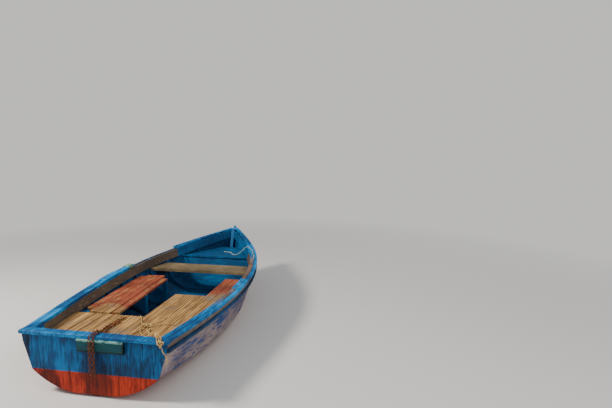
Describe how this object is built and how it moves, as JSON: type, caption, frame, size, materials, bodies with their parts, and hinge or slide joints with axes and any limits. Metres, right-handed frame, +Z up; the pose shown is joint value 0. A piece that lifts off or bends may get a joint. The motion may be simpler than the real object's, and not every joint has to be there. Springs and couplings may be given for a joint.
{
  "type": "rowing boat",
  "caption": "Small open wooden rowing boat with a square stern, side benches, thwart and bow seat, painted blue over a red bottom.",
  "frame": {"origin": "on the ground under the middle of the length of the box, on the centre plane", "axes": "+X towards the bow, +Y to port, +Z up; the keel and the bottom runners stand on Z = 0"},
  "size_m": [3.218, 1.444, 0.6983],
  "materials": {
    "bare_wood": "weathered bare board",
    "blue_paint": "weathered gloss paint",
    "grey_wood": "grey-brown bare wood",
    "hemp": "frayed natural rope",
    "painter": "pale worn rope",
    "red_bottom": "matt red bottom paint",
    "red_wood": "worn red-brown paint",
    "rowlock": "worn pale paint",
    "rusty_iron": "rusty",
    "weathered_side": "weathered paint, grey-pink with blue stains"
  },
  "bodies": {
    "root": {"apron": "blue_paint", "bilge_plank_port": "red_bottom", "bilge_plank_starboard": "red_bottom", "bottom_plank": "red_bottom", "bottom_runner_port": "red_bottom", "bottom_runner_starboard": "red_bottom", "bow_bulkhead": "blue_paint", "bow_inwale_port": "blue_paint", "bow_inwale_starboard": "blue_paint", "bow_seat": "blue_paint", "bow_seat_cleat_port": "blue_paint", "bow_seat_cleat_starboard": "blue_paint", "chain": "rusty_iron", "floor_timbers": "blue_paint", "garboard_port": "red_bottom", "garboard_starboard": "red_bottom", "gunwale_port_aft": "blue_paint", "gunwale_port_bow": "blue_paint", "gunwale_starboard": "blue_paint", "inwale_port": "grey_wood", "inwale_starboard": "grey_wood", "keel": "red_bottom", "motor_pad": "blue_paint", "painter": "painter", "port_bench": "red_wood", "quarter_knee_port": "blue_paint", "quarter_knee_starboard": "blue_paint", "rope_end_1": "hemp", "rope_end_2": "hemp", "rope_end_3": "hemp", "rope_end_4": "hemp", "rope_inner_knot": "hemp", "rope_lashing": "hemp", "rope_outer_knot": "hemp", "rope_tail": "hemp", "rowlock_pad": "rowlock", "rubbing_strake_port": "blue_paint", "rubbing_strake_starboard": "blue_paint", "seat_bearers": "blue_paint", "seat_legs": "blue_paint", "seat_riser_port": "blue_paint", "seat_riser_starboard": "blue_paint", "sheer_plank_port": "weathered_side", "sheer_plank_starboard": "weathered_side", "side_frames_port": "blue_paint", "side_frames_starboard": "blue_paint", "starboard_bench": "red_wood", "starboard_boards": "bare_wood", "stem": "blue_paint", "stern_sheets": "bare_wood", "thole_blocks_port": "blue_paint", "thole_blocks_starboard": "blue_paint", "thole_bushes": "rusty_iron", "thwart": "bare_wood", "thwart_cleat_port": "blue_paint", "thwart_cleat_starboard": "blue_paint", "topside_plank_port": "weathered_side", "topside_plank_starboard": "weathered_side", "transom": "blue_paint", "transom_rail": "blue_paint"}
  },
  "joints": []
}
